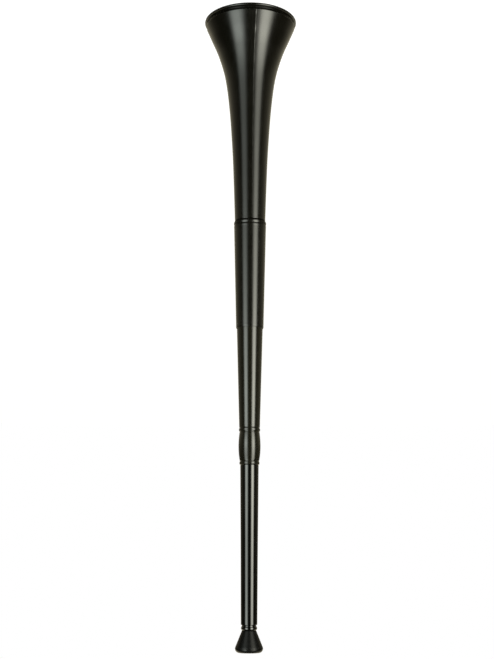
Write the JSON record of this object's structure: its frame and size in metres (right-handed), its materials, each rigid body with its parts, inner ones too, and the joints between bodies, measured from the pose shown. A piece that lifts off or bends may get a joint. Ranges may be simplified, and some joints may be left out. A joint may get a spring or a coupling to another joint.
{
  "type": "telescoping stadium horn",
  "caption": "Long slim lip-blown horn with a flared bell, a tapered telescoping tube, a beaded boss, a thin pipe and a cup mouthpiece.",
  "frame": {"origin": "centre of the bell's rim, in the plane that the horn stands on", "axes": "+Z along the horn's axis from the bell to the mouthpiece; +X and +Y across it, -Y towards the side with the clearer mould line"},
  "size_m": [0.1058, 0.1058, 0.711],
  "materials": {
    "satin_black": "satin moulded black",
    "gloss_black": "glossy black",
    "matt_black": "matt moulded black"
  },
  "bodies": {
    "horn": {"bell": "satin_black", "sleeve": "satin_black"},
    "slide": {"slide_tube": "satin_black", "mouth_pipe": "gloss_black", "mouthpiece": "matt_black"}
  },
  "joints": [
    {"name": "telescope", "type": "slide", "parent": "horn", "child": "slide", "axis": [0, 0, -1], "range_m": [0, 0.338]}
  ]
}
